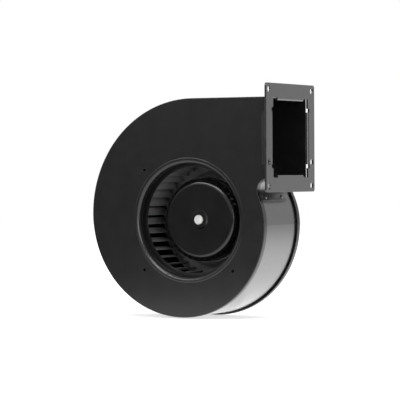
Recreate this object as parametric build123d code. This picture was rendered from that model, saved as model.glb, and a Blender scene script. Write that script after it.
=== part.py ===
from build123d import *
from math import asin, atan2, cos, degrees, hypot, radians, sin, sqrt
import os

# Blower fan with a spiral sheet steel housing, a forward curved blade wheel and an
# external rotor motor inside the wheel. Lengths are millimetres, angles are degrees.
# The origin is on the fan's axis, in the plane of the front plate's outer face.
# X points out of the outlet, Y from the inlet to the back, Z up.
# The wheel turns clockwise as seen from the inlet, which is about +Y.

# Sheet metal
sheet = 1.0
seam_gap = 0.1
fold_radius = 0.8

# Housing: a spiral of three arcs, whose centres are corners of a small square beside
# the fan's axis, and a tighter fourth arc up to the nook under the duct
housing_depth = 82.0
scroll_radius = 97.6
scroll_step = 12.0
scroll_centre_x = -1.3
scroll_centre_z = 0.75
tongue_radius = 71.0
duct_height = 85.2
nook_radius = 12.0
front_rim_depth = 6.0
back_rim_depth = 6.0
back_rim_proud = 1.0

# Inlet mouth: a drawn roll around the eye of the front plate
throat_radius = 59.5
inlet_roll = 5.0
inlet_foot = 1.5
inlet_lip_depth = 8.5
guard_circle = 150.0
guard_hole_radius = 1.6
guard_angles = (135, 225, 315)

# Outlet flange
outlet_x = 101.0
flange_sheet = 2.0
flange_side = 113.0
flange_corner = 3.0
flange_hole_edge = 6.5
flange_hole_radius = 3.5
mid_hole_rise = 25.0
duct_margin = 1.0
side_margin = 0.2
tab_length = 12.0
tab_bend = 0.4
side_tab_width = 55.0
end_tab_width = 60.0
relief_width = 4.0
relief_depth = 1.0

# Tongue: the strip that closes the duct's floor and laps over the scroll wall
tongue_split_below = 15.0
tongue_lap = 7.5
lap_front_gap = 1.0
lap_back_margin = 20.0
lap_gap = 0.05
joggle_length = 2.0
rivet_edge = 9.0
rivet_radius = 1.55
rivet_head_radius = 2.3
rivet_crown_radius = 1.4
rivet_head_height = 0.9
rivet_tail_radius = 1.85
rivet_tail_height = 1.2
rivet_clearance = 0.05

# Blade wheel
wheel_front_gap = 5.3
wheel_back_gap = 6.5
blade_count = 38
blade_start = 4.7
blade_inset = 0.5
blade_outer_radius = 65.8
blade_lead = 6.2
blade_bulge = 1.4
blade_sheet = 0.6
wheel_radius = 66.9
ring_overlap = 3.2
ring_hem_depth = 4.0
wheel_sheet = 0.8
disc_flat_radius = 52.0
dish_set_back = 19.5
collar_length = 8.0
collar_fold_gap = 0.4
collar_gap = 0.03

# Rotor cup
rotor_radius = 44.3
rotor_length = 41.0
rotor_gap = 8.0
rotor_sheet = 1.5
rotor_nose_radius = 7.0
magnet_count = 8
magnet_thickness = 3.4
magnet_gap = 0.05
magnet_split = 2.0
magnet_length = 29.0
magnet_inset = 3.0
hub_radius = 10.0
hub_proud = 1.2
hub_length = 6.1
shaft_shoulder = 0.1

# Shaft and its two ball bearings
shaft_radius = 4.0
shaft_head_radius = 5.0
shaft_proud = 1.5
shaft_end_gap = 1.0
clip_groove_radius = 3.4
clip_thickness = 0.8
clip_radius = 6.0
clip_opening = 70.0
fit_gap = 0.02
bearing_outer_radius = 11.0
bearing_width = 7.0
ball_radius = 2.0
ball_count = 7
inner_race_radius = 6.2
outer_race_radius = 8.8
cage_inner_radius = 6.6
cage_outer_radius = 8.4
cage_half_width = 2.7
cage_pocket_gap = 0.1
tube_radius = 13.0
tube_middle_radius = 9.6
tube_end_gap = 0.4
tube_rear_wall = 4.0
washer_rise = 1.2
washer_sheet = 0.5

# Stator
tooth_count = 12
air_gap = 0.5
stack_length = 24.0
stack_inset = 6.0
yoke_radius = 20.0
tooth_width = 5.0
tip_thickness = 2.6
slot_opening = 6.0
insulator_thickness = 1.5
insulator_margin = 0.5
coil_inner_radius = 21.4
coil_outer_radius = 34.6
coil_thickness = 2.3
coil_overhang = 3.0
coil_corner = 2.0
coil_gap = 0.05

# Circuit board
board_standoff = 3.0
board_sheet = 1.6
board_inner_radius = 14.0
board_outer_radius = 38.0
sensor_circle = 33.0
sensor_side = 4.0
sensor_height = 1.5
sensor_angles = (60, 90, 120)
chip_side = 9.0
chip_height = 1.4
chip_angles = (0, 180)
capacitor_radius = 2.5
capacitor_height = 3.0
capacitor_angles = (215, 235, 305, 325)

# Motor flange, the die-cast plate that carries the motor on the back plate
mount_step = 1.2
mount_thickness = 7.0
mount_wall_gap = 1.2
mount_wall = 1.8
mount_wall_overlap = 1.5
spigot_radius = 34.0
spigot_gap = 0.2
spigot_proud = 2.0
boss_radius = 17.0
post_count = 3
post_start = 30.0
post_radius = 2.4
post_circle = 35.0
rib_count = 16
rib_height = 3.0
rib_width = 2.2
rib_outer_radius = 32.0
screw_circle = 80.0
screw_count = 4
screw_radius = 2.0
screw_head_radius = 3.7
screw_head_height = 2.4
screw_depth = 5.5
screw_gap = 0.05
screw_plate_gap = 0.3
socket_radius = 1.5
socket_depth = 1.4
cap_height = 1.6

# Cable gland, a rubber grommet in the motor flange below the shaft
gland_drop = 25.0
gland_radius = 5.0
gland_head_radius = 7.0
gland_head_height = 2.4
gland_bore_radius = 2.6
gland_gap = 0.05

# Sizes of the housing that follow from the ones above
scroll_left = scroll_centre_x - scroll_step / 2
scroll_right = scroll_centre_x + scroll_step / 2
scroll_low = scroll_centre_z - scroll_step / 2
scroll_high = scroll_centre_z + scroll_step / 2
tongue_centre_x = scroll_left + scroll_radius - tongue_radius
scroll_top = scroll_high + scroll_radius + 2 * scroll_step
duct_floor = scroll_top - duct_height
duct_middle_z = (duct_floor + scroll_top) / 2
duct_middle_y = housing_depth / 2
flange_back = outlet_x - flange_sheet
flange_pitch = flange_side - 2 * flange_hole_edge
duct_end = flange_back - tab_bend - seam_gap
wall_inset = sheet + seam_gap
split_z = duct_floor - tongue_split_below
lap_front = front_rim_depth + lap_front_gap
lap_back = housing_depth - lap_back_margin
rivet_places = (lap_front + rivet_edge, lap_back - rivet_edge)
inlet_radius = throat_radius + inlet_roll + inlet_foot
guard_radius = guard_circle / 2

# Depths of the motor, counted forward from its seat on the back plate
mount_back = housing_depth - sheet
mount_front = mount_back - mount_thickness
spigot_back = housing_depth + spigot_proud
board_back = mount_front - board_standoff
board_front = board_back - board_sheet
rotor_back = mount_front - rotor_gap
rotor_front = rotor_back - rotor_length
mount_wall_front = rotor_back - mount_wall_overlap
magnet_back = rotor_back - magnet_inset
magnet_front = magnet_back - magnet_length
stack_back = rotor_back - stack_inset
stack_front = stack_back - stack_length
hub_front = rotor_front - hub_proud
hub_back = hub_front + hub_length
front_bearing_y = hub_back + shaft_shoulder
rear_bearing_y = rotor_back
tube_back = rear_bearing_y + bearing_width + tube_rear_wall
clip_front = rear_bearing_y + bearing_width + fit_gap
shaft_back = tube_back - shaft_end_gap

# Sizes of the wheel and the motor that follow from the ones above
wheel_front = inlet_lip_depth + wheel_front_gap
wheel_back = mount_front - wheel_back_gap
ring_inner_radius = throat_radius - ring_overlap
blade_inner_radius = throat_radius - blade_inset
dish_front = rotor_front + dish_set_back
pitch_radius = (shaft_radius + bearing_outer_radius) / 2
stator_radius = rotor_radius - rotor_sheet - magnet_gap - magnet_thickness - air_gap
mount_wall_radius = rotor_radius + mount_wall_gap + mount_wall
mount_radius = mount_wall_radius + mount_step


def slab(face, low_y, high_y):
    """Extrudes a face drawn in X and Z from one depth to another."""
    return extrude(Plane.XZ.offset(-low_y) * face, amount=high_y - low_y, dir=(0, 1, 0))


def turned(points):
    """Revolves a closed outline of (radius, depth) points about the fan's axis."""
    return revolve(make_face(Polyline(*points, close=True)), Axis.Y)


def ring(inner, outer, low_y, high_y):
    """A plain ring or, with no inner radius, a disc on the fan's axis."""
    face = Circle(outer)
    if inner:
        face -= Circle(inner)
    return slab(face, low_y, high_y)


def around(count, start=0.0):
    """The angles of evenly spaced copies about the axis."""
    return [start + 360 * index / count for index in range(count)]


def spun(shape, angle):
    """Turns a shape about the fan's axis, counterclockwise as seen from the inlet."""
    return Rot(0, -angle, 0) * shape


def place_xz(angle, radius):
    """The X and Z of a point at an angle and radius about the axis."""
    return radius * cos(radians(angle)), radius * sin(radians(angle))


def block(low, high):
    """A box between two corners."""
    size = [b - a for a, b in zip(low, high)]
    centre = [(a + b) / 2 for a, b in zip(low, high)]
    return Pos(*centre) * Box(*size)


def nook_centre():
    """The middle of the round nook below the duct, tangent to its floor and to the scroll."""
    centre_z = duct_floor - nook_radius
    reach = tongue_radius + nook_radius
    centre_x = tongue_centre_x + sqrt(reach**2 - (centre_z - scroll_low) ** 2)
    return centre_x, centre_z


def scroll_face(inset, end_x):
    """The housing's outline seen from the inlet, moved inward by the inset."""
    small = scroll_radius - inset
    middle = small + scroll_step
    large = middle + scroll_step
    nook_x, nook_z = nook_centre()
    nook_angle = degrees(atan2(nook_z - scroll_low, nook_x - tongue_centre_x))
    top = scroll_top - inset
    floor = duct_floor + inset
    edges = [
        Line((end_x, top), (scroll_right, top)),
        CenterArc((scroll_right, scroll_high), large, 90, 90),
        CenterArc((scroll_left, scroll_high), middle, 180, 90),
        CenterArc((scroll_left, scroll_low), small, 270, 90),
        CenterArc((tongue_centre_x, scroll_low), tongue_radius - inset, 0, nook_angle),
        CenterArc((nook_x, nook_z), nook_radius + inset, nook_angle + 180, -(nook_angle + 90)),
        Line((nook_x, floor), (end_x, floor)),
        Line((end_x, floor), (end_x, top)),
    ]
    return make_face(edges)


def scroll_band(outer_inset, inner_inset):
    """A strip that follows the housing's outline and is open at the outlet."""
    return scroll_face(outer_inset, duct_end) - scroll_face(inner_inset, duct_end + sheet)


def outer_fold(solid, y):
    """The outline's edges at one face of the housing, without the outlet's edge."""
    edges = solid.edges().filter_by(lambda e: abs(e.bounding_box().min.Y - y) < 1e-3)
    edges = edges.filter_by(lambda e: abs(e.bounding_box().max.Y - y) < 1e-3)
    return [e for e in edges if on_outline(e)]


def on_outline(edge):
    """True for an edge that lies on the plate's outer outline."""
    middle = edge @ 0.5
    far_from_eye = hypot(middle.X, middle.Z) > inlet_radius + nook_radius
    return far_from_eye and edge.length > 2 * sheet and middle.X < duct_end - 1e-3


def plate_blank(low_y, high_y, rim_low_y, rim_high_y, inset):
    """A flat plate with a folded rim, open where the outlet flange stands."""
    plate = slab(scroll_face(inset, duct_end), low_y, high_y)
    rim = slab(scroll_band(inset, inset + sheet), rim_low_y, rim_high_y)
    return plate + rim


def inlet_roll_ring():
    """The rounded inlet mouth, which swells out of the plate and leads into the throat."""
    centre_r = throat_radius + inlet_roll
    foot = inlet_radius - centre_r
    centre_y = sqrt(inlet_roll**2 - foot**2)
    inner = inlet_roll - sheet
    inner_foot = sqrt(inner**2 - (centre_y - sheet) ** 2)
    crest = (centre_r - inlet_roll * sin(radians(45)), centre_y - inlet_roll * cos(radians(45)))
    inner_crest = (centre_r - inner * sin(radians(45)), centre_y - inner * cos(radians(45)))
    edges = [
        ThreePointArc((inlet_radius, 0), crest, (throat_radius, centre_y)),
        Line((throat_radius, centre_y), (throat_radius, inlet_lip_depth)),
        Line((throat_radius, inlet_lip_depth), (throat_radius + sheet, inlet_lip_depth)),
        Line((throat_radius + sheet, inlet_lip_depth), (throat_radius + sheet, centre_y)),
        ThreePointArc((throat_radius + sheet, centre_y), inner_crest, (centre_r + inner_foot, sheet)),
        Line((centre_r + inner_foot, sheet), (inlet_radius + sheet, sheet)),
        Line((inlet_radius + sheet, sheet), (inlet_radius + sheet, 0)),
        Line((inlet_radius + sheet, 0), (inlet_radius, 0)),
    ]
    return revolve(make_face(edges), Axis.Y)


def front_plate():
    """The front plate with its folded rim, inlet mouth and three guard holes."""
    body = plate_blank(0, sheet, 0, front_rim_depth, 0)
    body = fillet(outer_fold(body, 0), fold_radius)
    body -= ring(0, inlet_radius + sheet, -sheet, 2 * sheet)
    body += inlet_roll_ring()
    for angle in guard_angles:
        x, z = place_xz(angle, guard_radius)
        body -= slab(Pos(x, z) * Circle(guard_hole_radius), -sheet, 2 * sheet)
    return body


def back_plate():
    """The back plate, whose rim stands out from the scroll wall, with the motor's holes."""
    back = housing_depth
    body = plate_blank(back - sheet, back, back - back_rim_depth, back, -back_rim_proud)
    body = fillet(outer_fold(body, back), fold_radius)
    body -= ring(0, spigot_radius + spigot_gap, back - 2 * sheet, back + sheet)
    for angle in screw_angles():
        x, z = place_xz(angle, screw_circle / 2)
        hole = Circle(screw_radius + screw_plate_gap)
        body -= slab(Pos(x, z) * hole, back - 2 * sheet, back + sheet)
    return body


def screw_angles():
    """The angles of the screws that hold the motor flange on the back plate."""
    return around(screw_count, 180 / screw_count)


def tongue_window(low_z, high_z):
    """The region around the tongue and the duct's floor, between two heights."""
    high = duct_floor + nook_radius if high_z is None else high_z
    low_x = scroll_radius / 2
    width = outlet_x + sheet - low_x
    return Pos(low_x + width / 2, (low_z + high) / 2) * Rectangle(width, high - low_z)


def scroll_wall():
    """The long strip from the tongue around the scroll to the top of the outlet."""
    band = scroll_band(wall_inset, wall_inset + sheet)
    wall = slab(band, sheet, housing_depth - sheet)
    wall -= slab(tongue_window(split_z, None), 0, housing_depth)
    for rivet_y in rivet_places:
        wall -= rivet_frame(rivet_y) * rivet_hole()
    return wall


def tongue_plate():
    """The short strip that forms the tongue and the duct's floor and laps the scroll wall."""
    band = scroll_band(wall_inset, wall_inset + sheet)
    floor = band & tongue_window(split_z + seam_gap, None)
    body = slab(floor, sheet, housing_depth - sheet)
    lap_end = split_z - tongue_lap
    lap = scroll_band(seam_gap, wall_inset - lap_gap) & tongue_window(lap_end, split_z + joggle_length)
    joggle = scroll_band(seam_gap, wall_inset + sheet / 2)
    joggle &= tongue_window(split_z + seam_gap, split_z + joggle_length)
    body += slab(lap, lap_front, lap_back)
    body += slab(joggle, lap_front, lap_back)
    for rivet_y in rivet_places:
        body -= rivet_frame(rivet_y) * rivet_hole()
    return body


def rivet_frame(y):
    """The place of a rivet: on the lap's outer face, pointing out of the housing."""
    radius = tongue_radius - seam_gap
    angle = asin((split_z - tongue_lap / 2 - scroll_low) / radius)
    outward = Vector(cos(angle), 0, sin(angle))
    point = Vector(tongue_centre_x, y, scroll_low) + outward * radius
    return Plane(origin=point, x_dir=(0, 1, 0), z_dir=outward).location


def rivet_hole():
    """The hole that a rivet passes through, in the rivet's own frame."""
    return Cylinder(rivet_radius + rivet_clearance, 6 * sheet)


def tongue_rivets():
    """The two pop rivets that hold the tongue's lap on the scroll wall."""
    depth = wall_inset + sheet - seam_gap + rivet_clearance
    lift = rivet_clearance
    shape = Polyline(
        (0, -depth - rivet_tail_height),
        (rivet_tail_radius, -depth - rivet_tail_height),
        (rivet_head_radius, -depth - lift),
        (rivet_radius, -depth - lift),
        (rivet_radius, lift),
        (rivet_head_radius, lift),
        (rivet_crown_radius, lift + rivet_head_height),
        (0, lift + rivet_head_height),
        close=True,
    )
    rivet = revolve(Plane.XZ * make_face(shape), Axis.Z)
    return Compound(children=[rivet_frame(y) * rivet for y in rivet_places])


def flange_tab(width):
    """One tab bent back from the flange, with its outer side at a height of zero."""
    outer_bend = tab_bend + flange_sheet
    start = flange_back - tab_bend
    straight_end = outlet_x - tab_length
    edges = [
        Line((straight_end, 0), (start, 0)),
        CenterArc((start, tab_bend), tab_bend, 270, 90),
        Line((flange_back, tab_bend), (outlet_x, tab_bend)),
        CenterArc((start, tab_bend), outer_bend, 0, -90),
        Line((start, -flange_sheet), (straight_end, -flange_sheet)),
        Line((straight_end, -flange_sheet), (straight_end, 0)),
    ]
    profile = Plane.XY * make_face(edges)
    return Pos(0, 0, -width / 2) * extrude(profile, amount=width, dir=(0, 0, 1))


def outlet_flange():
    """The square flange, with tabs over both plates and tabs into the duct's top and floor."""
    side_face = housing_depth / 2 + seam_gap + flange_sheet
    end_face = duct_height / 2 - wall_inset - sheet - seam_gap
    centre = Location((0, duct_middle_y, duct_middle_z))
    face = RectangleRounded(flange_side, flange_side, flange_corner)
    opening = Rectangle(housing_depth - 2 * side_margin, duct_height - 2 * duct_margin)
    sides = ((0, side_face, side_tab_width), (180, side_face, side_tab_width))
    ends = ((90, end_face, end_tab_width), (270, end_face, end_tab_width))
    for angle, tab_face, width in sides + ends:
        bend_line = tab_face + tab_bend
        beyond = Pos(bend_line + flange_pitch / 2, 0) * Rectangle(flange_pitch, width)
        opening -= Rot(0, 0, angle) * beyond
        opening += Rot(0, 0, angle) * Pos(bend_line / 2, 0) * Rectangle(bend_line, width)
    face -= opening
    for angle, tab_face, width in sides:
        notch = tab_face + tab_bend + relief_depth
        for end in (-1, 1):
            place = Pos(notch / 2, end * (width + relief_width) / 2)
            face -= Rot(0, 0, angle) * place * Rectangle(notch, relief_width)
    for hole in flange_holes():
        face -= Pos(hole[0] - duct_middle_y, hole[1] - duct_middle_z) * Circle(flange_hole_radius)
    frame = Plane(origin=(flange_back, duct_middle_y, duct_middle_z), x_dir=(0, 1, 0), z_dir=(1, 0, 0))
    body = extrude(frame * face, amount=flange_sheet, dir=(1, 0, 0))
    for angle, tab_face, width in sides + ends:
        tab = Pos(0, tab_face, 0) * flange_tab(width)
        body += centre * Rot(angle, 0, 0) * tab
    return body


def flange_holes():
    """The Y and Z of the flange's six holes: four corners and two in between."""
    half = flange_pitch / 2
    heights = [duct_middle_z + rise for rise in (-half, half, mid_hole_rise - half)]
    return [(duct_middle_y + side * half, z) for side in (-1, 1) for z in heights]


def arc_strip(start, end, bulge, thickness):
    """A curved strip of even thickness from one point to another, bulging to the left."""
    run = Vector(end[0] - start[0], end[1] - start[1])
    chord = run.length
    left = Vector(-run.Y, run.X).normalized()
    radius = (chord**2 / 4 + bulge**2) / (2 * bulge)
    middle = Vector(start[0], start[1]) + run * 0.5
    centre = middle - left * (radius - bulge)
    points = (Vector(*start), middle + left * bulge, Vector(*end))
    spokes = [(point - centre).normalized() for point in points]
    outer = [centre + spoke * (radius + thickness / 2) for spoke in spokes]
    inner = [centre + spoke * (radius - thickness / 2) for spoke in spokes]
    edges = [
        ThreePointArc(*outer),
        Line(outer[2], inner[2]),
        ThreePointArc(*reversed(inner)),
        Line(inner[0], outer[0]),
    ]
    return make_face(edges)


def impeller_blades():
    """The forward curved blades, whose tips lead in the direction of rotation."""
    foot = place_xz(0, blade_inner_radius)
    tip = place_xz(-blade_lead, blade_outer_radius)
    blade = slab(arc_strip(foot, tip, blade_bulge, blade_sheet), wheel_front, wheel_back)
    return Compound(children=[spun(blade, angle) for angle in around(blade_count, blade_start)])


def impeller_front_ring():
    """The flat ring that joins the blades at the inlet, with a hemmed outer edge."""
    front = wheel_front - wheel_sheet
    return turned([
        (ring_inner_radius, front),
        (wheel_radius, front),
        (wheel_radius, wheel_front + ring_hem_depth),
        (wheel_radius - wheel_sheet, wheel_front + ring_hem_depth),
        (wheel_radius - wheel_sheet, wheel_front),
        (ring_inner_radius, wheel_front),
    ])


def impeller_hub_disc():
    """The disc that joins the blades at the back, with a cone and a collar on the rotor."""
    inner = rotor_radius + collar_gap
    gap_radius = collar_fold_gap / 2
    fold = wheel_sheet + gap_radius
    middle = inner + fold
    seat = dish_front + fold
    cone_foot = middle + fold
    slope = hypot(disc_flat_radius - cone_foot, wheel_back - seat)
    shift = wheel_sheet * (wheel_back - seat) / slope
    edges = [
        Line((inner, dish_front + collar_length), (inner, seat)),
        ThreePointArc((inner, seat), (middle, dish_front), (cone_foot, seat)),
        Line((cone_foot, seat), (disc_flat_radius, wheel_back)),
        Line((disc_flat_radius, wheel_back), (wheel_radius, wheel_back)),
        Line((wheel_radius, wheel_back), (wheel_radius, wheel_back + wheel_sheet)),
        Line((wheel_radius, wheel_back + wheel_sheet), (disc_flat_radius - shift, wheel_back + wheel_sheet)),
        Line((disc_flat_radius - shift, wheel_back + wheel_sheet), (middle + gap_radius, seat)),
        ThreePointArc((middle + gap_radius, seat), (middle, seat - gap_radius), (middle - gap_radius, seat)),
        Line((middle - gap_radius, seat), (middle - gap_radius, dish_front + collar_length)),
        Line((middle - gap_radius, dish_front + collar_length), (inner, dish_front + collar_length)),
    ]
    return revolve(make_face(edges), Axis.Y)


def rotor_cup():
    """The deep drawn steel cup that carries the magnets and the blade wheel."""
    outer = Pos(rotor_radius / 2, (rotor_front + rotor_back) / 2)
    profile = outer * Rectangle(rotor_radius, rotor_back - rotor_front)
    corner = profile.vertices().sort_by(Axis.X)[-2:].sort_by(Axis.Y)[0]
    profile = fillet(corner, rotor_nose_radius)
    cup = revolve(profile, Axis.Y)
    inside_radius = rotor_radius - rotor_sheet
    inside_front = rotor_front + rotor_sheet
    inside = Pos(inside_radius / 2, (inside_front + rotor_back + sheet) / 2)
    hollow = inside * Rectangle(inside_radius, rotor_back + sheet - inside_front)
    corner = hollow.vertices().sort_by(Axis.X)[-2:].sort_by(Axis.Y)[0]
    hollow = fillet(corner, rotor_nose_radius - rotor_sheet)
    cup -= revolve(hollow, Axis.Y)
    return cup - ring(0, hub_radius + fit_gap, rotor_front - sheet, inside_front + sheet)


def rotor_hub():
    """The steel bush pressed in the middle of the cup, which grips the shaft."""
    inner = shaft_head_radius + fit_gap
    shoulder = rotor_front + rotor_sheet
    return turned([
        (inner, hub_front),
        (hub_radius - hub_proud, hub_front),
        (hub_radius, rotor_front),
        (hub_radius, shoulder),
        (hub_radius + rotor_sheet, shoulder),
        (hub_radius + rotor_sheet, shoulder + rotor_sheet),
        (hub_radius, shoulder + 2 * rotor_sheet),
        (hub_radius, hub_back),
        (inner, hub_back),
    ])


def rotor_magnets():
    """Curved magnets around the inside of the cup, one for each pole."""
    outer = rotor_radius - rotor_sheet - magnet_gap
    band = ring(outer - magnet_thickness, outer, magnet_front, magnet_back)
    span = outer + sheet
    half = 180 / magnet_count
    edge = span / cos(radians(half))
    wedge = make_face(Polyline((0, 0), place_xz(-half, edge), place_xz(half, edge), close=True))
    wedge = offset(wedge, -magnet_split / 2)
    magnet = band & slab(wedge, magnet_front, magnet_back)
    return Compound(children=[spun(magnet, angle) for angle in around(magnet_count)])


def shaft():
    """The motor's shaft: a thick head in the rotor's hub and a journal in the bearings."""
    head_front = hub_front - shaft_proud
    head_back = front_bearing_y - fit_gap
    bevel = shaft_head_radius / 10
    clip_end = clip_front + clip_thickness + 2 * fit_gap
    return turned([
        (0, head_front),
        (shaft_head_radius - bevel, head_front),
        (shaft_head_radius, head_front + bevel),
        (shaft_head_radius, head_back),
        (shaft_radius, head_back),
        (shaft_radius, clip_front),
        (clip_groove_radius, clip_front),
        (clip_groove_radius, clip_end),
        (shaft_radius, clip_end),
        (shaft_radius, shaft_back - bevel),
        (shaft_radius - bevel, shaft_back),
        (0, shaft_back),
    ])


def retaining_ring():
    """The open clip in the shaft's groove, behind the rear bearing."""
    low = clip_front + fit_gap
    clip = ring(clip_groove_radius + fit_gap, clip_radius, low, low + clip_thickness)
    half = clip_opening / 2
    reach = clip_radius / cos(radians(half))
    mouth = Polyline((0, 0), place_xz(-half, reach), place_xz(half, reach), close=True)
    return clip - slab(make_face(mouth), low - sheet, low + clip_thickness + sheet)


def race_groove(middle_y):
    """The round track that the balls run in, with a little clearance."""
    return revolve(Pos(pitch_radius, middle_y) * Circle(ball_radius + fit_gap), Axis.Y)


def inner_race(front_y):
    """A bearing's inner ring, on the shaft."""
    middle = front_y + bearing_width / 2
    blank = ring(shaft_radius + fit_gap, inner_race_radius, front_y, front_y + bearing_width)
    return blank - race_groove(middle)


def outer_race(front_y):
    """A bearing's outer ring, in the bearing tube."""
    middle = front_y + bearing_width / 2
    blank = ring(outer_race_radius, bearing_outer_radius - fit_gap, front_y, front_y + bearing_width)
    return blank - race_groove(middle)


def bearing_balls(front_y):
    """The balls of one bearing."""
    ball = Pos(pitch_radius, front_y + bearing_width / 2, 0) * Sphere(ball_radius)
    return Compound(children=[spun(ball, angle) for angle in around(ball_count)])


def bearing_cage(front_y):
    """The cage that spaces the balls and goes around with them."""
    middle = front_y + bearing_width / 2
    low = middle - cage_half_width
    high = middle + cage_half_width
    cage = ring(cage_inner_radius, cage_outer_radius, low, high)
    pocket = Pos(pitch_radius, middle, 0) * Rot(0, 90, 0)
    pocket *= Cylinder(ball_radius + cage_pocket_gap, 2 * (cage_outer_radius - cage_inner_radius))
    for angle in around(ball_count):
        cage -= spun(pocket, angle)
    return cage


def bearing_tube():
    """The steel tube that holds both bearings and carries the stator."""
    front = front_bearing_y + tube_end_gap
    front_seat = front_bearing_y + bearing_width
    rear_seat = rear_bearing_y - washer_rise
    return turned([
        (tube_radius, front),
        (tube_radius, tube_back),
        (bearing_outer_radius, tube_back),
        (bearing_outer_radius, rear_seat),
        (tube_middle_radius, rear_seat),
        (tube_middle_radius, front_seat),
        (bearing_outer_radius, front_seat),
        (bearing_outer_radius, front),
    ])


def preload_washer():
    """The conical spring washer that pushes the rear bearing's outer ring backward."""
    low = rear_bearing_y - washer_rise + fit_gap
    high = rear_bearing_y - fit_gap
    inner = tube_middle_radius - sheet / 2
    outer = bearing_outer_radius - 2 * fit_gap
    return turned([
        (outer, low),
        (outer, low + washer_sheet),
        (inner, high),
        (inner, high - washer_sheet),
    ])


def tooth_profile(margin, outer):
    """The stator's yoke and teeth, widened by a margin, out to an outer radius."""
    bore = tube_radius + fit_gap
    face = Circle(yoke_radius + margin)
    tip_inner = stator_radius - tip_thickness
    tips = Circle(outer) - Circle(tip_inner - margin)
    half_width = tooth_width / 2 + margin
    slot = Rectangle(outer + sheet, slot_opening - 2 * margin)
    for angle in around(tooth_count):
        turn = Rot(0, 0, angle)
        face += turn * Pos((tip_inner + sheet) / 2, 0) * Rectangle(tip_inner + sheet, 2 * half_width)
        tips -= turn * Rot(0, 0, 180 / tooth_count) * Pos((outer + sheet) / 2, 0) * slot
    return face + tips - Circle(bore)


def stator_core():
    """The laminated stack with one tooth for each coil."""
    return slab(tooth_profile(0, stator_radius), stack_front, stack_back)


def insulator(low_y):
    """A plastic end piece that keeps the coils off the stack."""
    face = tooth_profile(insulator_margin, stator_radius - insulator_margin)
    return slab(face, low_y, low_y + insulator_thickness)


def stator_coils():
    """One wound coil around each tooth, with rounded outer corners."""
    inner_half = tooth_width / 2 + insulator_margin + coil_gap
    outer_half = inner_half + coil_thickness
    window_front = stack_front - insulator_thickness - coil_gap
    window_back = stack_back + insulator_thickness + coil_gap
    front = window_front - coil_overhang
    back = window_back + coil_overhang
    winding = block((coil_inner_radius, front, -outer_half), (coil_outer_radius, back, outer_half))
    winding = fillet(winding.edges().filter_by(Axis.X), coil_corner)
    reach = coil_outer_radius + sheet
    winding -= block((0, window_front, -inner_half), (reach, window_back, inner_half))
    return Compound(children=[spun(winding, angle) for angle in around(tooth_count)])


def circuit_board():
    """The round circuit board that drives the motor, on the motor flange's posts."""
    board = ring(board_inner_radius, board_outer_radius, board_front, board_back)
    notch = Pos(0, -gland_drop) * Circle(gland_radius)
    notch += Pos(0, -1.5 * gland_drop) * Rectangle(2 * gland_radius, gland_drop)
    return board - slab(notch, board_front - sheet, board_back + sheet)


def board_components():
    """The parts on the circuit board: position sensors, driver chips and capacitors."""
    parts = []
    for angle in sensor_angles:
        x, z = place_xz(angle, sensor_circle)
        face = Pos(x, z) * Rot(0, 0, angle) * Rectangle(sensor_side, sensor_side)
        parts.append(slab(face, board_front - sensor_height, board_front))
    for angle in chip_angles:
        x, z = place_xz(angle, (board_inner_radius + board_outer_radius) / 2)
        face = Pos(x, z) * Rectangle(chip_side, chip_side)
        parts.append(slab(face, board_front - chip_height, board_front))
    for angle in capacitor_angles:
        x, z = place_xz(angle, sensor_circle - capacitor_radius)
        face = Pos(x, z) * Circle(capacitor_radius)
        parts.append(slab(face, board_front - capacitor_height, board_front))
    return Compound(children=parts)


def motor_flange():
    """The die-cast flange: a disc on the back plate, a wall around the rotor and cooling ribs."""
    body = ring(0, mount_radius, mount_front, mount_back)
    body += ring(mount_wall_radius - mount_wall, mount_wall_radius, mount_wall_front, mount_front)
    body += ring(0, spigot_radius, mount_back, spigot_back)
    body += ring(0, boss_radius, board_back + sheet, mount_front)
    for angle in around(post_count, post_start):
        x, z = place_xz(angle, post_circle)
        body += slab(Pos(x, z) * Circle(post_radius), board_back, mount_front)
    for angle in around(rib_count, 90):
        if not gland_clears(angle):
            continue
        root = boss_radius - rib_width
        rib = Rot(0, 0, angle) * Pos((rib_outer_radius + root) / 2, 0)
        rib *= Rectangle(rib_outer_radius - root, rib_width)
        body += slab(rib, spigot_back, spigot_back + rib_height)
    body += ring(0, boss_radius, spigot_back, spigot_back + rib_height)
    body -= ring(0, tube_radius + fit_gap, mount_front - boss_radius, tube_back)
    body -= ring(0, bearing_outer_radius, tube_back - sheet, spigot_back + rib_height + sheet)
    for angle in screw_angles():
        x, z = place_xz(angle, screw_circle / 2)
        hole = Circle(screw_radius + screw_gap)
        body -= slab(Pos(x, z) * hole, mount_back - screw_depth - sheet, mount_back + sheet)
    gland_hole = Pos(0, -gland_drop) * Circle(gland_radius + gland_gap)
    return body - slab(gland_hole, mount_front - sheet, spigot_back + sheet)


def gland_clears(angle):
    """True where a cooling rib at this angle stays clear of the cable gland."""
    x, z = place_xz(angle, gland_drop)
    return z > 0 or abs(x) > gland_head_radius + rib_width


def bearing_cap():
    """The plug that closes the motor flange behind the shaft."""
    back = spigot_back + rib_height
    front = back - cap_height
    return ring(0, bearing_outer_radius - fit_gap, front, back)


def motor_screws():
    """The socket screws through the back plate into the motor flange."""
    screws = []
    for angle in screw_angles():
        x, z = place_xz(angle, screw_circle / 2)
        place = Pos(x, z)
        screw = slab(place * Circle(screw_radius), mount_back - screw_depth, housing_depth)
        head_back = housing_depth + screw_head_height
        screw += slab(place * Circle(screw_head_radius), housing_depth, head_back)
        socket = RegularPolygon(socket_radius, 6)
        screws.append(screw - slab(place * socket, head_back - socket_depth, head_back + sheet))
    return Compound(children=screws)


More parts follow.
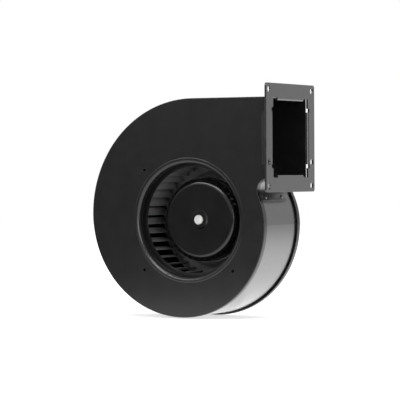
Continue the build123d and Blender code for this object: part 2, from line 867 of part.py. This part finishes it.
def cable_gland():
    """The rubber grommet in the motor flange, where the supply leads would come out."""
    bore = Circle(gland_bore_radius)
    body = slab(Circle(gland_radius) - bore, mount_front, spigot_back)
    head = slab(Circle(gland_head_radius), spigot_back, spigot_back + gland_head_height)
    rim = head.edges().filter_by(lambda e: abs((e @ 0).Y - spigot_back - gland_head_height) < 1e-3)
    head = fillet(rim, gland_head_height / 2)
    body += head - slab(bore, mount_front, spigot_back + 2 * gland_head_height)
    return Pos(0, 0, -gland_drop) * body


PARTS = {
    "front_plate": front_plate,
    "scroll_wall": scroll_wall,
    "tongue_plate": tongue_plate,
    "tongue_rivets": tongue_rivets,
    "back_plate": back_plate,
    "outlet_flange": outlet_flange,
    "impeller_blades": impeller_blades,
    "impeller_front_ring": impeller_front_ring,
    "impeller_hub_disc": impeller_hub_disc,
    "rotor_cup": rotor_cup,
    "rotor_hub": rotor_hub,
    "rotor_magnets": rotor_magnets,
    "shaft": shaft,
    "retaining_ring": retaining_ring,
    "front_bearing_inner_race": lambda: inner_race(front_bearing_y),
    "front_bearing_outer_race": lambda: outer_race(front_bearing_y),
    "front_bearing_balls": lambda: bearing_balls(front_bearing_y),
    "front_bearing_cage": lambda: bearing_cage(front_bearing_y),
    "rear_bearing_inner_race": lambda: inner_race(rear_bearing_y),
    "rear_bearing_outer_race": lambda: outer_race(rear_bearing_y),
    "rear_bearing_balls": lambda: bearing_balls(rear_bearing_y),
    "rear_bearing_cage": lambda: bearing_cage(rear_bearing_y),
    "bearing_tube": bearing_tube,
    "preload_washer": preload_washer,
    "bearing_cap": bearing_cap,
    "stator_core": stator_core,
    "insulator_front": lambda: insulator(stack_front - insulator_thickness),
    "insulator_rear": lambda: insulator(stack_back),
    "stator_coils": stator_coils,
    "circuit_board": circuit_board,
    "board_components": board_components,
    "motor_flange": motor_flange,
    "motor_screws": motor_screws,
    "cable_gland": cable_gland,
}

os.makedirs("parts", exist_ok=True)
for node, make in PARTS.items():
    export_step(make(), f"parts/{node}.step")
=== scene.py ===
"""Dresses the blower for its picture: finishes, floor, light and camera."""
from math import cos, pi, radians, sin

import bmesh
import bpy
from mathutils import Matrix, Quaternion, Vector


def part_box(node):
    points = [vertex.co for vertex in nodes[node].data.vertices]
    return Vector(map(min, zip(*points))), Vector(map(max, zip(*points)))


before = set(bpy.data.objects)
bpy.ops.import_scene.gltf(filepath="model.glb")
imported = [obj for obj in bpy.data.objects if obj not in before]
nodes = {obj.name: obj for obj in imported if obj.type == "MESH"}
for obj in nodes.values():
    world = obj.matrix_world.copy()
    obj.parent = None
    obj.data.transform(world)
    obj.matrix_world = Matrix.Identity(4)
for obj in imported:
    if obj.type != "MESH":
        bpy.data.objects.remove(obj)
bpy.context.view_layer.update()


# Camera, at the photograph's viewing angle. Lengths are metres, angles are degrees.
VIEW_AZIMUTH = 28.92
VIEW_ELEVATION = 1.12
VIEW_DISTANCE = 2.447
FOCAL_IN_FRAME_WIDTHS = 2324.67 / 400
AIM_RIGHT = 0.0128
AIM_UP = 0.0212
VIEW_ROLL = -0.3
SENSOR_WIDTH = 36.0

FLOOR_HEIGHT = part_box("back_plate")[0][2] - 0.0002

# Studio. Azimuth goes from the front of the fan, -Y, towards its outlet, +X.
FLOOR_SIZE = 8.0
FLOOR_SHADE = 0.8
FLOOR_GLOW_REACH = (0.15, 1.1)
NEAR_GLOW = 0.62

# Light of the room on matt surfaces, and as the black coat mirrors it. DIM_WIDTH is how far
# from its middle the dim part at the front left is gone, then complete. DIM_HEIGHT is the
# elevation up to which it is complete, then gone. The floor has a dim part of its own.
AMBIENT = 0.25
MIRRORED_LEVEL = 0.75
DIM_LEVEL = 0.0
DIM_AZIMUTH = -27
DIM_WIDTH = (66, 32)
DIM_HEIGHT = (-3, 8)
DIM_FLOOR_AZIMUTH = -46
DIM_FLOOR_REACH = (0.1, 0.5)
DIM_FLOOR_SHADE = 0.1
MIRRORED_GLOW_REACH = (0.25, 0.8)
FAR_GLOW = 0.5

# A lamp is its name, azimuth and elevation, distance, size and radiance.
LAMP_TARGET = (0, 0.04, 0)
LAMPS = (
    ("lamp_top_back", 165, 62, 2.2, (2.2, 1.6), 2.4),
    ("lamp_front", -20, 30, 2.2, (1.4, 0.3), 9.0),
    ("lamp_front_high", 10, 50, 2.2, (1.2, 0.7), 7.0),
    ("lamp_right", 46, 8, 2.2, (0.8, 1.5), 4.7),
)


def camera_axes(azimuth, elevation):
    """Unit vectors to the camera's right, its top and from the object back to it."""
    a, e = radians(azimuth), radians(elevation)
    back = Vector((sin(a) * cos(e), -cos(a) * cos(e), sin(e)))
    right = Vector((cos(a), sin(a), 0))
    return right, back.cross(right), back


def direction(azimuth, elevation):
    """A unit vector from the object, with azimuth counted from -Y towards +X."""
    a, e = radians(azimuth), radians(elevation)
    return sin(a) * cos(e), -cos(a) * cos(e), sin(e)


def add_camera():
    """A long lens far away, so that the circles keep the photograph's proportions."""
    right, up, back = camera_axes(VIEW_AZIMUTH, VIEW_ELEVATION)
    place = back * VIEW_DISTANCE
    aim = right * AIM_RIGHT + up * AIM_UP
    data = bpy.data.cameras.new("camera")
    data.sensor_width = SENSOR_WIDTH
    data.lens = SENSOR_WIDTH * FOCAL_IN_FRAME_WIDTHS
    data.clip_end = 20
    camera = bpy.data.objects.new("camera", data)
    camera.location = place
    turn = Quaternion((0, 0, 1), radians(VIEW_ROLL))
    camera.rotation_euler = ((aim - place).to_track_quat("-Z", "Y") @ turn).to_euler()
    bpy.context.scene.collection.objects.link(camera)
    bpy.context.scene.camera = camera


class Nodes:
    """A short way to build a node material."""

    def __init__(self, name):
        self.material = bpy.data.materials.new(name)
        self.material.use_nodes = True
        self.tree = self.material.node_tree
        self.shader = self.tree.nodes["Principled BSDF"]
        self.place = self.add("ShaderNodeTexCoord").outputs["Object"]

    def add(self, kind, **values):
        node = self.tree.nodes.new(kind)
        for key, value in values.items():
            setattr(node, key, value)
        return node

    def link(self, source, target):
        self.tree.links.new(source, target)

    def noise(self, scale, detail=4.0, rough=0.5, stretch=None):
        """Noise in the object's own metres, as a value around a half."""
        node = self.add("ShaderNodeTexNoise")
        node.inputs["Scale"].default_value = scale
        node.inputs["Detail"].default_value = detail
        node.inputs["Roughness"].default_value = rough
        source = self.place
        if stretch:
            mapping = self.add("ShaderNodeMapping")
            mapping.inputs["Scale"].default_value = stretch
            self.link(source, mapping.inputs["Vector"])
            source = mapping.outputs["Vector"]
        self.link(source, node.inputs["Vector"])
        return node.outputs["Fac"]

    def span(self, value, low, high, new_low, new_high):
        """Maps a range of one value to a range of another, clamped."""
        node = self.add("ShaderNodeMapRange")
        ends = {"From Min": low, "From Max": high, "To Min": new_low, "To Max": new_high}
        for name, number in ends.items():
            node.inputs[name].default_value = number
        self.link(value, node.inputs["Value"])
        return node.outputs["Result"]

    def mix(self, factor, first, second):
        """Mixes two colours, each a tuple or a socket, by a socket or a number."""
        node = self.add("ShaderNodeMix", data_type="RGBA")
        for index, value in ((0, factor), (6, first), (7, second)):
            if isinstance(value, (tuple, float, int)):
                node.inputs[index].default_value = value
            else:
                self.link(value, node.inputs[index])
        return node.outputs[2]

    def combine(self, first, second, operation):
        """Joins two values by a plain sum, product or other operation."""
        node = self.add("ShaderNodeMath", operation=operation)
        for index, value in ((0, first), (1, second)):
            if isinstance(value, (float, int)):
                node.inputs[index].default_value = value
            else:
                self.link(value, node.inputs[index])
        return node.outputs[0]

    def bump(self, height, distance, strength=1.0, below=None):
        """A bump of a height in metres on the shader's normal."""
        node = self.add("ShaderNodeBump")
        node.inputs["Distance"].default_value = distance
        node.inputs["Strength"].default_value = strength
        self.link(height, node.inputs["Height"])
        if below:
            self.link(below, node.inputs["Normal"])
        return node.outputs["Normal"]

    def edges(self, radius):
        """One on sharp edges and zero elsewhere, from the rounded normal."""
        bevel = self.add("ShaderNodeBevel", samples=4)
        bevel.inputs["Radius"].default_value = radius
        plain = self.add("ShaderNodeNewGeometry").outputs["Normal"]
        dot = self.add("ShaderNodeVectorMath", operation="DOT_PRODUCT")
        self.link(bevel.outputs["Normal"], dot.inputs[0])
        self.link(plain, dot.inputs[1])
        return self.span(dot.outputs["Value"], 0.995, 0.85, 0.0, 1.0)

    def crevice_shade_mask(self, reach):
        """One in narrow gaps, where shade is painted, and zero on open faces."""
        node = self.add("ShaderNodeAmbientOcclusion", samples=8)
        node.inputs["Distance"].default_value = reach
        return self.span(node.outputs["AO"], 0.25, 0.75, 1.0, 0.0)

    def put(self, name, value):
        """Sets one of the shader's sockets to a number, a colour or another socket."""
        socket = self.shader.inputs[name]
        if isinstance(value, (tuple, float, int)):
            socket.default_value = value
        else:
            self.link(value, socket)


def grey(value, tint=1.03):
    """A nearly neutral colour, slightly cool for a tint above one."""
    return (value, value, value * tint, 1.0)


# Black coat: greys of what shows on it, of its rubbed edges and of the shade painted in its crevices, and
# the reach of each.
RUBBED_EDGE = 0.16
CREVICE_SHADE = 0.004
EDGE_RADIUS = 0.0007
CREVICE_REACH = 0.01
CLEAR_COAT_ROUGHNESS = 0.2


def black_coat(name, shade, rough, peel=1.0, gloss=0.8, wear=0.5, crevice_shade=0.0):
    """Semi-gloss black powder coat: orange peel, faint mottling, dust, rubbed edges and painted shade in
    crevices.
    """
    m = Nodes(name)
    mottle = m.noise(60, 5)
    clouds = m.noise(9, 3)
    specks = m.span(m.noise(2600, 2), 0.66, 0.78, 0.0, 1.0)
    dark, light = grey(shade * 0.85), grey(shade * 1.2)
    colour = m.mix(m.span(mottle, 0.3, 0.7, 0.0, 1.0), dark, light)
    colour = m.mix(m.combine(specks, 0.12, "MULTIPLY"), colour, grey(shade * 3 + 0.02))
    edge = m.combine(m.edges(EDGE_RADIUS), m.span(mottle, 0.42, 0.62, 0.0, wear), "MULTIPLY")
    colour = m.mix(edge, colour, grey(RUBBED_EDGE))
    # Painted shade: the colour darkens towards near black in narrow gaps, such as between the blades.
    if crevice_shade:
        colour = m.mix(m.combine(m.crevice_shade_mask(CREVICE_REACH), crevice_shade, "MULTIPLY"), colour, grey(CREVICE_SHADE))
    m.put("Base Color", colour)
    smear = m.span(clouds, 0.2, 0.8, rough - 0.02, rough + 0.02)
    grain = m.span(mottle, 0.2, 0.8, -0.02, 0.02)
    m.put("Roughness", m.combine(smear, grain, "ADD"))
    m.put("Coat Weight", gloss)
    m.put("Coat Roughness", CLEAR_COAT_ROUGHNESS)
    fine = m.bump(m.noise(1500, 2), 0.00002, 0.35 * peel)
    m.put("Normal", m.bump(m.noise(420, 2), 0.00005, 0.25 * peel, fine))
    return m.material


def metal(name, colour, rough, brushed=None, stain=0.1, metallic=1.0):
    """Bare or plated metal with fine marks, drawn out along one axis if brushed."""
    m = Nodes(name)
    marks = m.noise(900, 6, 0.6, stretch=brushed)
    clouds = m.noise(120, 4)
    dark = tuple(c * (1 - 2 * stain) for c in colour) + (1.0,)
    light = tuple(min(1.0, c * (1 + stain)) for c in colour) + (1.0,)
    m.put("Base Color", m.mix(m.span(clouds, 0.35, 0.65, 0.0, 1.0), dark, light))
    m.put("Metallic", metallic)
    m.put("Roughness", m.span(marks, 0.3, 0.7, rough - 0.06, rough + 0.08))
    m.put("Normal", m.bump(marks, 0.00003, 0.3))
    return m.material


def moulded(name, colour, rough, grain=900, specular=0.5):
    """Moulded plastic or rubber with a fine grain."""
    m = Nodes(name)
    clouds = m.noise(150, 4)
    dark = tuple(c * 0.8 for c in colour) + (1.0,)
    light = tuple(min(1.0, c * 1.15) for c in colour) + (1.0,)
    m.put("Base Color", m.mix(m.span(clouds, 0.35, 0.65, 0.0, 1.0), dark, light))
    m.put("Roughness", m.span(m.noise(300, 3), 0.3, 0.7, rough - 0.05, rough + 0.06))
    m.put("Specular IOR Level", specular)
    m.put("Normal", m.bump(m.noise(grain, 3), 0.00004, 0.4))
    return m.material


def laminated(name):
    """A stack of thin sheets: fine dark lines across the fan's axis."""
    m = Nodes(name)
    wave = m.add("ShaderNodeTexWave", bands_direction="Y")
    wave.inputs["Scale"].default_value = 320
    wave.inputs["Distortion"].default_value = 0.3
    m.link(m.place, wave.inputs["Vector"])
    line = wave.outputs["Fac"]
    m.put("Base Color", m.mix(line, (0.16, 0.16, 0.17, 1), (0.42, 0.42, 0.43, 1)))
    m.put("Metallic", 1.0)
    m.put("Roughness", m.span(m.noise(500, 4), 0.3, 0.7, 0.38, 0.55))
    m.put("Normal", m.bump(line, 0.00008, 0.6))
    return m.material


def wound(name):
    """Enamelled copper wire, laid in fine turns."""
    m = Nodes(name)
    wave = m.add("ShaderNodeTexWave", bands_direction="DIAGONAL")
    wave.inputs["Scale"].default_value = 260
    wave.inputs["Distortion"].default_value = 0.8
    m.link(m.place, wave.inputs["Vector"])
    turn = wave.outputs["Fac"]
    m.put("Base Color", m.mix(turn, (0.22, 0.07, 0.02, 1), (0.62, 0.28, 0.12, 1)))
    m.put("Metallic", 0.85)
    m.put("Roughness", m.span(m.noise(400, 3), 0.3, 0.7, 0.25, 0.4))
    m.put("Coat Weight", 0.4)
    m.put("Normal", m.bump(turn, 0.0002, 0.8))
    return m.material


def board_mask(name):
    """Green solder mask with the faint relief of copper tracks under it."""
    m = Nodes(name)
    cells = m.add("ShaderNodeTexVoronoi", feature="DISTANCE_TO_EDGE")
    cells.inputs["Scale"].default_value = 260
    m.link(m.place, cells.inputs["Vector"])
    track = m.span(cells.outputs["Distance"], 0.04, 0.09, 1.0, 0.0)
    m.put("Base Color", m.mix(track, (0.01, 0.09, 0.035, 1), (0.03, 0.19, 0.07, 1)))
    m.put("Roughness", m.span(m.noise(300, 3), 0.3, 0.7, 0.22, 0.34))
    m.put("Normal", m.bump(track, 0.00004, 0.6))
    return m.material


HOUSING = black_coat("housing_coat", 0.007, 0.24, gloss=0.0)
WALL = black_coat("wall_coat", 0.010, 0.26, gloss=1.0)
FLANGE = black_coat("flange_coat", 0.007, 0.24, gloss=0.85)
# Blades and hub disc: the housing's black coat painted far lighter, as painted light standing in for light
# the housing keeps out, with painted shade between the blades.
BLADE_PAINTED_LIGHT = black_coat("blade_coat_painted_light", 0.2, 0.34, peel=0.8, gloss=0.4, crevice_shade=0.95)
WHEEL = black_coat("wheel_coat", 0.007, 0.3, peel=0.8, gloss=0.0)
ROTOR = black_coat("rotor_coat", 0.004, 0.18, gloss=0.0)
BRIGHT = metal("ground_steel", (0.78, 0.78, 0.77), 0.22, brushed=(1, 12, 1))
SHAFT = metal("shaft_steel", (0.74, 0.74, 0.73), 0.45, brushed=(1, 1, 1), metallic=0.5)
DARK = metal("blackened_steel", (0.12, 0.12, 0.125), 0.35)
ZINC = metal("zinc_plate", (0.58, 0.6, 0.62), 0.3, stain=0.15)
FERRITE = moulded("ferrite", (0.09, 0.09, 0.095), 0.45, grain=1500)
NYLON = moulded("nylon", (0.62, 0.6, 0.52), 0.4)
CASES = moulded("component_cases", (0.03, 0.03, 0.033), 0.4)
CAST = black_coat("cast_coat", 0.016, 0.42, peel=2.5)
CAP = moulded("cap_plastic", (0.02, 0.02, 0.02), 0.4)
RUBBER = moulded("grommet_rubber", (0.015, 0.015, 0.015), 0.6, specular=0.35)

FINISHES = {
    HOUSING: ("front_plate", "back_plate"),
    WALL: ("scroll_wall", "tongue_plate", "tongue_rivets"),
    FLANGE: ("outlet_flange",),
    BLADE_PAINTED_LIGHT: ("impeller_blades", "impeller_hub_disc"),
    WHEEL: ("impeller_front_ring",),
    ROTOR: ("rotor_cup", "rotor_hub"),
    SHAFT: ("shaft",),
    BRIGHT: (
        "front_bearing_inner_race", "front_bearing_outer_race", "front_bearing_balls", "front_bearing_cage",
        "rear_bearing_inner_race", "rear_bearing_outer_race", "rear_bearing_balls", "rear_bearing_cage",
        "preload_washer",
    ),
    DARK: ("retaining_ring",),
    ZINC: ("bearing_tube", "motor_screws"),
    FERRITE: ("rotor_magnets",),
    laminated("lamination"): ("stator_core",),
    NYLON: ("insulator_front", "insulator_rear"),
    wound("winding"): ("stator_coils",),
    board_mask("board"): ("circuit_board",),
    CASES: ("board_components",),
    CAST: ("motor_flange",),
    CAP: ("bearing_cap",),
    RUBBER: ("cable_gland",),
}


def dress_nodes():
    """Gives every solid of the model its finish."""
    for material, names in FINISHES.items():
        for name in names:
            data = nodes[name].data
            data.materials.clear()
            data.materials.append(material)


def floor_paint(name):
    """A plain pale floor that keeps the object's shadow and whitens away from it.

    Mirrored in the object, it is bright near it and dark towards the dim side.
    """
    m = Nodes(name)
    m.put("Roughness", 0.9)
    m.put("Specular IOR Level", 0.2)
    away = m.add("ShaderNodeVectorMath", operation="LENGTH")
    m.link(m.place, away.inputs[0])
    seen = m.span(away.outputs["Value"], *FLOOR_GLOW_REACH, NEAR_GLOW, 1.0)
    ahead = m.add("ShaderNodeVectorMath", operation="DOT_PRODUCT")
    m.link(m.place, ahead.inputs[0])
    ahead.inputs[1].default_value = direction(DIM_FLOOR_AZIMUTH, 0)
    bright = m.span(ahead.outputs["Value"], *DIM_FLOOR_REACH, 1.0, 0.0)
    path = m.add("ShaderNodeLightPath").outputs
    mirrored = m.combine(path["Is Glossy Ray"], path["Is Transmission Ray"], "MAXIMUM")
    dark = m.combine(mirrored, m.combine(1.0, bright, "SUBTRACT"), "MULTIPLY")
    m.put("Base Color", m.mix(dark, grey(FLOOR_SHADE, 1.0), grey(DIM_FLOOR_SHADE, 1.0)))
    fading = m.span(away.outputs["Value"], *MIRRORED_GLOW_REACH, 1.0, FAR_GLOW)
    close = m.combine(bright, fading, "MULTIPLY")
    glow = m.combine(
        m.combine(path["Is Camera Ray"], seen, "MULTIPLY"), m.combine(mirrored, close, "MULTIPLY"), "ADD"
    )
    m.put("Emission Color", grey(1.0, 1.0))
    m.put("Emission Strength", glow)
    return m.material


def add_plane(name, size, place, material):
    """A flat square of the studio, which isn't part of the object."""
    mesh = bpy.data.meshes.new(name)
    bm = bmesh.new()
    bmesh.ops.create_grid(bm, x_segments=1, y_segments=1, size=size / 2)
    bm.to_mesh(mesh)
    bm.free()
    piece = bpy.data.objects.new(name, mesh)
    piece.location = place
    mesh.materials.append(material)
    bpy.context.scene.collection.objects.link(piece)
    return piece


def add_lamp(name, place, target, size, watts):
    """A soft square lamp aimed at a point."""
    data = bpy.data.lights.new(name, "AREA")
    data.shape = "RECTANGLE"
    data.size, data.size_y = size
    data.energy = watts
    lamp = bpy.data.objects.new(name, data)
    lamp.location = place
    lamp.rotation_euler = (Vector(target) - Vector(place)).to_track_quat("-Z", "Y").to_euler()
    lamp.visible_camera = False
    bpy.context.scene.collection.objects.link(lamp)
    return lamp


def add_world():
    """White for the camera, a plain light all around, and a dim front left for reflections."""
    world = bpy.data.worlds.new("studio")
    bpy.context.scene.world = world
    world.use_nodes = True
    tree = world.node_tree

    def add(kind, *values, **settings):
        node = tree.nodes.new(kind)
        for key, value in settings.items():
            setattr(node, key, value)
        for index, value in enumerate(values):
            if isinstance(value, (int, float, tuple)):
                node.inputs[index].default_value = value
            elif value is not None:
                tree.links.new(value, node.inputs[index])
        return node.outputs

    path = add("ShaderNodeLightPath")
    toward = add("ShaderNodeTexCoord")["Generated"]
    facing = add("ShaderNodeVectorMath", toward, direction(DIM_AZIMUTH, 0), operation="DOT_PRODUCT")["Value"]
    height = add("ShaderNodeSeparateXYZ", toward)["Z"]
    wide, narrow = (cos(radians(angle)) for angle in DIM_WIDTH)
    low, high = (sin(radians(angle)) for angle in DIM_HEIGHT)
    across = add("ShaderNodeMapRange", facing, wide, narrow, 0.0, 1.0, interpolation_type="SMOOTHSTEP")[0]
    upright = add("ShaderNodeMapRange", height, low, high, 1.0, 0.0, interpolation_type="SMOOTHSTEP")[0]
    dim = add("ShaderNodeMath", across, upright, operation="MULTIPLY")[0]
    strength = add("ShaderNodeMapRange", dim, 0.0, 1.0, MIRRORED_LEVEL, DIM_LEVEL)[0]
    strength = add("ShaderNodeMix", path["Is Diffuse Ray"], None, strength, AMBIENT)[0]
    strength = add("ShaderNodeMix", path["Is Camera Ray"], None, strength, 1.0)[0]
    shader = tree.nodes["Background"]
    shader.inputs["Color"].default_value = (1, 1, 1, 1)
    tree.links.new(strength, shader.inputs["Strength"])


def add_studio():
    """The pale floor, the soft lamps and the world."""
    add_plane("floor", FLOOR_SIZE, (0, 0, FLOOR_HEIGHT), floor_paint("floor_paint"))
    for name, azimuth, elevation, distance, size, radiance in LAMPS:
        place = tuple(distance * c for c in direction(azimuth, elevation))
        watts = radiance * pi * size[0] * size[1]
        add_lamp(name, place, LAMP_TARGET, size, watts)
    add_world()


dress_nodes()
add_studio()
add_camera()
bpy.context.scene.view_settings.view_transform = "Standard"
